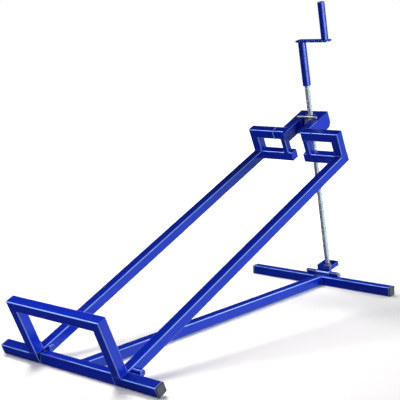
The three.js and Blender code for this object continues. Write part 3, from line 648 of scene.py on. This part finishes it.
class LIFT_OT_end_caps(LiftOperator, bpy.types.Operator):
    """Mould the square end caps of the stubs and the rear tube"""
    bl_idname = "mower_lift.end_caps"
    bl_label = "End caps"

    HEAD = 0.005  # thickness of the head outside the tube
    RIM_ROUND = 0.0017
    BORDER = 0.0042  # width of the flat border round the dish
    DISH = 0.0006  # depth of the dish, and how far its side slopes in
    WALL = 0.0033  # how far the stem stands in from the head's edge

    def execute(self, context):
        for word, side in SIDES.items():
            self.cap(f"rear_cap_{word}", side, FLOOR, "foot_frame")
            self.cap(f"foot_cap_{word}", side, HINGE, "tilting_frame")
        return {"FINISHED"}

    def cap(self, node, side, axes, body):
        low, high = node_box(node, axes)
        size = high.z - low.z
        middle = (low + high) / 2
        outer, inner = (high.x, low.x) if side > 0 else (-low.x, -high.x)
        bm = bmesh.new()
        bmesh.ops.create_cube(bm, size=1)
        bmesh.ops.scale(bm, vec=(self.HEAD, size, size), verts=bm.verts)
        bmesh.ops.translate(bm, vec=(outer - self.HEAD / 2, 0, 0), verts=bm.verts)
        corners = [e for e in bm.edges if abs(e.verts[0].co.x - e.verts[1].co.x) > self.HEAD / 2]
        bmesh.ops.bevel(bm, geom=corners, offset=TUBE_CORNER, affect="EDGES", segments=5,
                        profile=0.5, material=-1)
        face = max(bm.faces, key=lambda item: item.normal.x)
        bmesh.ops.bevel(bm, geom=list(face.edges), offset=self.RIM_ROUND, affect="EDGES",
                        segments=4, profile=0.5, material=-1)
        face = max(bm.faces, key=lambda item: item.normal.x)
        bmesh.ops.inset_region(bm, faces=[face], thickness=self.BORDER, depth=0.0)
        bmesh.ops.inset_region(bm, faces=[face], thickness=self.DISH, depth=-self.DISH)
        back = min(bm.faces, key=lambda item: item.normal.x)
        bmesh.ops.inset_region(bm, faces=[back], thickness=self.WALL, depth=0.0)
        stem = bmesh.ops.extrude_face_region(bm, geom=[back])["geom"]
        moved = [item for item in stem if isinstance(item, bmesh.types.BMVert)]
        bmesh.ops.translate(bm, vec=(inner - (outer - self.HEAD), 0, 0), verts=moved)
        bmesh.ops.delete(bm, geom=[back], context="FACES_ONLY")
        mark_edges(bm)
        if side < 0:
            bmesh.ops.scale(bm, vec=(-1, 1, 1), verts=bm.verts)
            bmesh.ops.reverse_faces(bm, faces=bm.faces)
        bmesh.ops.translate(bm, vec=(0, middle.y, middle.z), verts=bm.verts)
        place_piece(f"{node}_moulded", bm, axes, "black_cap", body, [node])


class LIFT_OT_frame_hinges(LiftOperator, bpy.types.Operator):
    """Finish the sleeves and pins that the rails tilt on"""
    bl_idname = "mower_lift.frame_hinges"
    bl_label = "Frame hinges"

    def execute(self, context):
        for word in SIDES:
            softened_copy(f"foot_hinge_sleeve_{word}", FLOOR, "foot_frame", round_about="x")
            softened_copy(f"frame_hinge_sleeve_{word}", HINGE, "tilting_frame", round_about="x")
            softened_copy(f"hinge_pin_{word}", HINGE, "tilting_frame", round_about="x")
        return {"FINISHED"}


class LIFT_OT_spindle_pivot(LiftOperator, bpy.types.Operator):
    """Finish the knuckles, bolt and nut that the spindle leans on"""
    bl_idname = "mower_lift.spindle_pivot"
    bl_label = "Spindle pivot"

    def execute(self, context):
        for word in SIDES:
            softened_copy(f"pivot_knuckle_{word}", FLOOR, "foot_frame", round_about="x")
        for node in ("pivot_bolt", "pivot_nut"):
            softened_copy(node, FLOOR, "foot_frame", "zinc_plating", rounding=0.0007)
        softened_copy("tray_knuckle", PIVOT, "spindle_foot")
        return {"FINISHED"}


class LIFT_OT_spindle_foot(LiftOperator, bpy.types.Operator):
    """Finish the tray, ring and lock nut at the spindle's foot"""
    bl_idname = "mower_lift.spindle_foot"
    bl_label = "Spindle foot"

    def execute(self, context):
        softened_copy("foot_tray", PIVOT, "spindle_foot", rounding=0.0012)
        softened_copy("thrust_ring", SPINDLE, "spindle_foot", "zinc_plating", round_about="z")
        softened_copy("foot_lock_nut", SPINDLE, "screw", "zinc_plating", rounding=0.0008)
        return {"FINISHED"}


class LIFT_OT_screw(LiftOperator, bpy.types.Operator):
    """Cut the spindle's trapezoidal thread"""
    bl_idname = "mower_lift.screw"
    bl_label = "Screw"

    COLLAR = 0.007  # plain length between the thrust ring and the thread
    HIDDEN = 0.02  # how far the thread runs on inside the crank's socket
    JOURNAL = 0.008  # radius of the plain end that turns in the ring
    CLEARANCE = 0.0003
    CHAMFER = 0.001
    RUN_IN = 0.0015  # length of the cone inside the thread's first turn
    THREAD_STEPS = 28

    def execute(self, context):
        spindle = context.scene.lift_spindle
        low, high = node_box("lift_screw", SPINDLE)
        ring_top = node_box("thrust_ring", SPINDLE)[1].z
        socket_start = node_box("crank_socket", SPINDLE)[0].z
        radius = (high.x - low.x) / 2
        root = radius - spindle.thread_depth
        pitch = spindle.thread_pitch
        start = ring_top + self.COLLAR
        turns = int((socket_start + self.HIDDEN - start) / pitch)
        bm = self.thread(radius, root, pitch, turns)
        bmesh.ops.translate(bm, vec=(0, 0, start), verts=bm.verts)
        bmesh.ops.recalc_face_normals(bm, faces=bm.faces)
        journal, chamfer = self.JOURNAL, self.CHAMFER
        step = ring_top + self.CLEARANCE
        inside = start + pitch + self.RUN_IN
        add_turned(bm, [
            (0, low.z), (journal - chamfer, low.z), (journal, low.z + chamfer), (journal, step),
            (radius - chamfer, step), (radius, step + chamfer), (radius, start + pitch),
            (root, inside), (0, inside)])
        top = start + turns * pitch
        add_turned(bm, [
            (0, top - pitch), (root, top - pitch), (radius, top), (radius, high.z - chamfer),
            (radius - chamfer, high.z), (0, high.z)])
        mark_edges(bm, "z")
        place_piece("lift_screw_threaded", bm, SPINDLE, "zinc_plating", "screw", ["lift_screw"])
        return {"FINISHED"}

    def thread(self, radius, root, pitch, turns):
        """One turn is spun from the profile of a single pitch, and the turns are stacked."""
        bm = bmesh.new()
        line = ((root, 0), (root, 0.2), (radius, 0.3), (radius, 0.9), (root, 1))
        verts = [bm.verts.new((reach, 0, share * pitch)) for reach, share in line]
        edges = [bm.edges.new(pair) for pair in zip(verts, verts[1:])]
        bmesh.ops.spin(bm, geom=verts + edges, cent=(0, 0, 0), axis=(0, 0, 1), angle=2 * pi,
                       dvec=(0, 0, pitch / self.THREAD_STEPS), steps=self.THREAD_STEPS,
                       use_merge=False)
        single = bm.verts[:] + bm.edges[:] + bm.faces[:]
        for turn in range(1, turns - 1):
            copied = bmesh.ops.duplicate(bm, geom=single)["geom"]
            bmesh.ops.translate(bm, vec=(0, 0, turn * pitch), verts=[
                item for item in copied if isinstance(item, bmesh.types.BMVert)])
        bmesh.ops.remove_doubles(bm, verts=bm.verts, dist=2 * MERGE)
        bmesh.ops.holes_fill(bm, edges=bm.edges, sides=0)
        return bm


class LIFT_OT_nut_block(LiftOperator, bpy.types.Operator):
    """Finish the nut block that climbs the screw"""
    bl_idname = "mower_lift.nut_block"
    bl_label = "Nut block"

    def execute(self, context):
        softened_copy("nut_block", SPINDLE, "nut", "zinc_plating", rounding=0.0012)
        return {"FINISHED"}


class LIFT_OT_lock_pin(LiftOperator, bpy.types.Operator):
    """Bend the locking pin from round bar"""
    bl_idname = "mower_lift.lock_pin"
    bl_label = "Locking pin"

    BEND = 0.007  # radius of the bend, at the bar's middle
    BEND_STEPS = 12
    END_RADIUS = 0.86  # radius of the blunted ends, as a share of the bar's
    BLUNT = (0.0004, 0.0012)  # heights over the node's foot where the bar starts and is full

    def execute(self, context):
        low, high = node_box("lock_pin", HINGE)
        radius = (high.y - low.y) / 2
        reach = high.x - radius
        top = high.z - radius
        bend = self.BEND
        points = [(-reach, low.z + self.BLUNT[0], 0), (-reach, low.z + self.BLUNT[1], 0),
                  (-reach, top - bend, 0)]
        for i in range(1, self.BEND_STEPS + 1):
            angle = i / self.BEND_STEPS * pi / 2
            points.append((-reach + bend * (1 - cos(angle)), top - bend * (1 - sin(angle)), angle))
        points += [(-x, z, pi - angle) for x, z, angle in reversed(points)]
        path = []
        for i, (x, z, angle) in enumerate(points):
            place = Vector((x, (low.y + high.y) / 2, z))
            along = Vector((sin(angle), 0, cos(angle)))
            size = radius * (self.END_RADIUS if i in (0, len(points) - 1) else 1)
            path.append(ring_axes(place, Vector((0, 1, 0)), along, size, size))
        bm = bmesh.new()
        bm.verts.layers.float.new("edge")
        carry(bm, path, segments=24)
        bmesh.ops.recalc_face_normals(bm, faces=bm.faces)
        place_piece("lock_pin_bent", bm, HINGE, "zinc_plating", "lock_pin", ["lock_pin"])
        return {"FINISHED"}


class LIFT_OT_crank(LiftOperator, bpy.types.Operator):
    """Finish the crank's socket, bar, pin and grip"""
    bl_idname = "mower_lift.crank"
    bl_label = "Crank"

    def execute(self, context):
        softened_copy("crank_socket", SPINDLE, "screw", round_about="z")
        softened_copy("crank_bar", SPINDLE, "screw", rounding=0.0012)
        softened_copy("grip_pin", SPINDLE, "screw", "zinc_plating", round_about="z")
        softened_copy("crank_grip", SPINDLE, "grip", rounding=0.0012, round_about="z")
        return {"FINISHED"}


class LIFT_OT_welds(LiftOperator, bpy.types.Operator):
    """Lay the weld beads where the tubes meet"""
    bl_idname = "mower_lift.welds"
    bl_label = "Welds"

    def execute(self, context):
        self.foot_frame()
        for word, side in SIDES.items():
            self.foot(word)
            self.stop(word, 1 if side > 0 else 0)
            self.fork(word, side)
        return {"FINISHED"}

    def foot_frame(self):
        bm = bmesh.new()
        for end in (0, 1):
            seam(bm, "beam", FLOOR, "y", end, (LOW_BEAD, HIGH_BEAD, SUNK_BEAD, HIGH_BEAD))
        finish_beads("foot_frame_welds", bm, FLOOR, "foot_frame")

    def foot(self, word):
        bm = bmesh.new()
        seam(bm, f"hoop_leg_{word}", HINGE, "z", 0, (HIGH_BEAD, LOW_BEAD, HIGH_BEAD, LOW_BEAD))
        seam(bm, f"rail_{word}", HINGE, "y", 0, (LOW_BEAD, HIGH_BEAD, LOW_BEAD, HIGH_BEAD))
        finish_beads(f"foot_welds_{word}", bm, HINGE, "tilting_frame")

    def stop(self, word, outer):
        """The beads of a wheel stop. outer is the end of its bars away from the middle."""
        low = (LOW_BEAD,) * 4
        bm = bmesh.new()
        seam(bm, f"stop_outer_post_{word}", HINGE, "z", 0, (*low[:3], HIGH_BEAD))
        for end in (0, 1):
            seam(bm, f"stop_inner_post_{word}", HINGE, "z", end, low)
        seam(bm, f"stop_lower_bar_{word}", HINGE, "x", outer,
             (LOW_BEAD, LOW_BEAD, HIGH_BEAD, LOW_BEAD))
        finish_beads(f"stop_welds_{word}", bm, HINGE, "tilting_frame")
        bm = bmesh.new()
        seam(bm, f"fork_root_{word}", HINGE, "x", outer, (ROOT_BEAD,) * 4)
        finish_beads(f"root_weld_{word}", bm, HINGE, "tilting_frame", BEAD_HIGHLIGHT if outer else ROOT_BEAD_HIGHLIGHT)

    def fork(self, word, side):
        """The beads down the arm's outer edge, across its top, and along the flange."""
        half_height, half_width = 0.0008, 0.0028
        inset, outer_inset = 0.004, 0.003
        bm = bmesh.new()
        low, high = node_box(f"fork_arm_{word}", HINGE)
        flange = node_box(f"fork_flange_{word}", HINGE)[0].y
        outer, inner = (high.x, low.x) if side > 0 else (low.x, high.x)
        back, top = high.y + HALF_GAP, high.z
        straight_bead(bm, (outer, back, low.z + inset / 2), (outer, back, top - inset),
                      (side, 0, 0), half_height, half_width)
        straight_bead(bm, (outer - side * outer_inset, back, top), (inner, back, top),
                      (0, 0, 1), half_height, half_width)
        edge = inner - side * HALF_GAP
        straight_bead(bm, (edge, flange + inset, top), (edge, back - inset, top),
                      (0, 0, 1), 0.0005, 0.002)
        finish_beads(f"fork_welds_{word}", bm, HINGE, "tilting_frame")


class LIFT_OT_stage(LiftOperator, bpy.types.Operator):
    """Set up the camera, the floor and the lights"""
    bl_idname = "mower_lift.stage"
    bl_label = "Stage"

    BEHIND = ((7.6, 8.2, 5.6), (0.0, 0.6, 0.3), (5.0, 4.3))  # place, aim and size
    FRONT_LEFT = (-1.9, -1.0, 2.6)
    COOL, BLUE, EDGE_BLUE = (0.8, 0.92, 1.0), (0.38, 0.55, 1.0), (0.45, 0.62, 1.0)
    FLOOR_RADIUS = 16
    FLOOR_LEVEL = -0.0009  # clear of the beads under the beam
    FLOOR_MIDDLE = (0, 0.7, 0)
    FADE = (1.3, 3.2)  # distances from the middle between which the floor turns to plain white

    def execute(self, context):
        scene = context.scene
        self.camera(scene, scene.lift_stage)
        floor = [self.floor(scene, scene.lift_stage)]
        crank = [bpy.data.objects[f"crank_{part}_painted"] for part in ("socket", "bar", "grip")]
        zinc = built_once(bright_zinc)
        plated = [thing for thing in scene.objects
                  if thing.type == "MESH" and thing.data.materials[:] == [zinc]]
        self.lamp("key", *self.BEHIND, 1, glossy=False, without=floor)
        self.lamp("sheen", *self.BEHIND, 0.12, diffuse=False)
        self.lamp("floor", (-2.0, 1.2, 4.0), (0.2, 0.6, 0.0), (2.0, 2.0), 0.132, only=floor)
        self.lamp("back", (0.9, 5.2, 3.9), (0.0, 0.8, 0.5), (2.4, 1.2), 0.064, self.COOL)
        self.lamp("left", (-3.6, 0.9, 3.0), (0.0, 0.5, 0.1), (1.2, 1.2), 0.006, glossy=False)
        self.lamp("strip", (2.6, 1.1, 0.6), (0.0, 1.1, 0.6), (2.4, 1.2), 0.07, self.BLUE,
                  diffuse=False, only=crank)
        self.lamp("edge", self.FRONT_LEFT, (0.0, 0.1, 0.3), (1.8, 1.8), 0.1, self.EDGE_BLUE,
                  diffuse=False, without=plated)
        self.lamp("plate", self.FRONT_LEFT, (0.0, 0.9, 0.6), (1.2, 1.2), 0.014, only=plated)
        self.lamp("near", (0.0, -0.4, 0.95), (0.0, 0.0, 0.15), (0.7, 0.5), 0.004, glossy=False)
        self.world(scene)
        scene.view_settings.view_transform = "Standard"
        return {"FINISHED"}

    def lamp(self, name, place, aim, size, share, tint=(1, 1, 1), diffuse=True, glossy=True,
             only=None, without=None):
        """A softbox with a share of the key's power. It may reach only some things, or all but
        some, and be left out of diffuse light or of reflections."""
        scene = bpy.context.scene
        data = bpy.data.lights.new(f"{name}_softbox", "AREA")
        data.shape = "RECTANGLE"
        data.size, data.size_y = size
        data.energy = scene.lift_stage.key_power * share
        data.color = tint
        lamp = bpy.data.objects.new(f"{name}_softbox", data)
        lamp.location = place
        lamp.rotation_euler = (Vector(aim) - Vector(place)).to_track_quat("-Z", "Y").to_euler()
        lamp.visible_camera = False
        lamp.visible_diffuse = diffuse
        lamp.visible_glossy = glossy
        scene.collection.objects.link(lamp)
        if only or without:
            chosen = bpy.data.collections.new(f"{name}_receivers")
            for index, thing in enumerate(only or without):
                chosen.objects.link(thing)
                linking = chosen.collection_objects[index].light_linking
                linking.link_state = "INCLUDE" if only else "EXCLUDE"
            lamp.light_linking.receiver_collection = chosen

    def world(self, scene):
        """A dim studio with a pale wall on the lift's right, a bluish one to the right in front,
        and a white backdrop."""
        world = bpy.data.worlds.new("studio")
        scene.world = world
        world.use_nodes = True
        tree = world.node_tree
        tree.nodes.clear()
        way = add_node(tree, "ShaderNodeTexCoord").outputs["Generated"]
        pale = self.wall(tree, way, (0.97, 0.15, -0.2), 0.35, 0.95, (0.70, 1.05, 1.15))
        blue = self.wall(tree, way, (0.80, -0.57, -0.2), 0.89, 0.98, (0.6, 0.85, 1.5))
        walls = add_node(tree, "ShaderNodeVectorMath", {0: pale, 1: blue}, operation="ADD")
        dim = add_node(tree, "ShaderNodeBackground", {"Color": walls.outputs[0]})
        white = add_node(tree, "ShaderNodeBackground", {"Color": (1, 1, 1, 1)})
        seen = add_node(tree, "ShaderNodeLightPath").outputs["Is Camera Ray"]
        mix = add_node(tree, "ShaderNodeMixShader", {
            0: seen, 1: dim.outputs[0], 2: white.outputs[0]})
        add_node(tree, "ShaderNodeOutputWorld", {"Surface": mix.outputs[0]})

    def wall(self, tree, way, middle, edge, core, colour):
        """Light that fades in from the edge to the core of a round patch of the sky."""
        facing = add_node(tree, "ShaderNodeVectorMath", {0: way, 1: middle},
                          operation="DOT_PRODUCT")
        patch = add_node(tree, "ShaderNodeMapRange", {
            "Value": facing.outputs["Value"], "From Min": edge, "From Max": core,
            "To Min": 0.02, "To Max": 1.0}, interpolation_type="SMOOTHSTEP")
        tinted = add_node(tree, "ShaderNodeVectorMath", {0: colour, "Scale": patch.outputs[0]},
                          operation="SCALE")
        return tinted.outputs[0]

    def camera(self, scene, stage):
        a, e = stage.azimuth, stage.elevation
        right = Vector((cos(a), sin(a), 0))
        back = Vector((sin(a) * cos(e), -cos(a) * cos(e), sin(e)))
        up = back.cross(right)
        across = cos(stage.roll) * right + sin(stage.roll) * up
        upright = cos(stage.roll) * up - sin(stage.roll) * right
        data = bpy.data.cameras.new("studio_camera")
        data.lens = stage.lens
        data.sensor_width = 36
        camera = bpy.data.objects.new("studio_camera", data)
        turn = Matrix((across, upright, back)).transposed().to_4x4()
        turn.translation = Vector(stage.place)
        camera.matrix_world = turn
        scene.collection.objects.link(camera)
        scene.camera = camera

    def floor(self, scene, stage):
        """A pale floor that throws less light back than the camera sees, and is white far out."""
        bm = bmesh.new()
        bmesh.ops.create_circle(bm, cap_ends=True, segments=96, radius=self.FLOOR_RADIUS)
        bmesh.ops.translate(bm, vec=(0, 0, self.FLOOR_LEVEL), verts=bm.verts)
        mesh = bpy.data.meshes.new("studio_floor")
        bm.to_mesh(mesh)
        bm.free()
        floor = bpy.data.objects.new("studio_floor", mesh)
        scene.collection.objects.link(floor)
        material, tree, shader, place = new_material("studio_floor", stage.floor)
        seen = add_node(tree, "ShaderNodeLightPath").outputs["Is Camera Ray"]
        bounce = add_node(tree, "ShaderNodeMix", {
            0: seen, 6: (0.5, 0.5, 0.5, 1), 7: (*stage.floor, 1)}, data_type="RGBA")
        tree.links.new(bounce.outputs[2], shader.inputs["Base Color"])
        shader.inputs["Roughness"].default_value = 0.9
        shader.inputs["Specular IOR Level"].default_value = 0.1
        reach = add_node(tree, "ShaderNodeVectorMath", {0: place, 1: self.FLOOR_MIDDLE},
                         operation="DISTANCE")
        near, far = self.FADE
        fade = add_node(tree, "ShaderNodeMapRange", {
            "Value": reach.outputs["Value"], "From Min": near, "From Max": far},
            interpolation_type="SMOOTHSTEP")
        share = add_node(tree, "ShaderNodeMapRange", {
            "Value": fade.outputs[0], "To Min": 0.05, "To Max": 1.0})
        lit = add_node(tree, "ShaderNodeMath", {0: share.outputs[0], 1: seen},
                       operation="MULTIPLY")
        glow = add_node(tree, "ShaderNodeEmission", {
            "Color": (1, 1, 1, 1), "Strength": lit.outputs[0]})
        mix = add_node(tree, "ShaderNodeAddShader", {0: shader.outputs[0], 1: glow.outputs[0]})
        tree.links.new(mix.outputs[0], tree.nodes["Material Output"].inputs["Surface"])
        mesh.materials.append(material)
        floor.visible_glossy = False
        return floor


OPERATORS = (
    LIFT_OT_foot_frame,
    LIFT_OT_hoop,
    LIFT_OT_rails,
    LIFT_OT_wheel_stops,
    LIFT_OT_fork,
    LIFT_OT_end_caps,
    LIFT_OT_frame_hinges,
    LIFT_OT_spindle_pivot,
    LIFT_OT_spindle_foot,
    LIFT_OT_screw,
    LIFT_OT_nut_block,
    LIFT_OT_lock_pin,
    LIFT_OT_crank,
    LIFT_OT_welds,
    LIFT_OT_stage,
)


class LIFT_PT_panel(bpy.types.Panel):
    bl_idname = "LIFT_PT_panel"
    bl_label = "Lawn mower lift"
    bl_space_type = "VIEW_3D"
    bl_region_type = "UI"
    bl_category = "Lift"

    def draw(self, context):
        for key in SETTINGS:
            group = getattr(context.scene, key)
            box = self.layout.box()
            for name in group.__annotations__:
                box.prop(group, name)
        for operator in OPERATORS:
            self.layout.operator(operator.bl_idname)


SETTINGS = {
    "lift_steel": LiftSteelSettings,
    "lift_spindle": LiftSpindleSettings,
    "lift_paint": LiftPaintSettings,
    "lift_metal": LiftMetalSettings,
    "lift_stage": LiftStageSettings,
}


def register():
    for cls in (*SETTINGS.values(), *OPERATORS, LIFT_PT_panel):
        bpy.utils.register_class(cls)
    for key, cls in SETTINGS.items():
        setattr(bpy.types.Scene, key, bpy.props.PointerProperty(type=cls))


def unregister():
    for key in SETTINGS:
        delattr(bpy.types.Scene, key)
    for cls in (LIFT_PT_panel, *reversed(OPERATORS), *reversed(SETTINGS.values())):
        bpy.utils.unregister_class(cls)


def main():
    register()
    for operator in OPERATORS:
        getattr(bpy.ops.mower_lift, operator.bl_idname.partition(".")[2])()


if __name__ == "__main__":
    main()
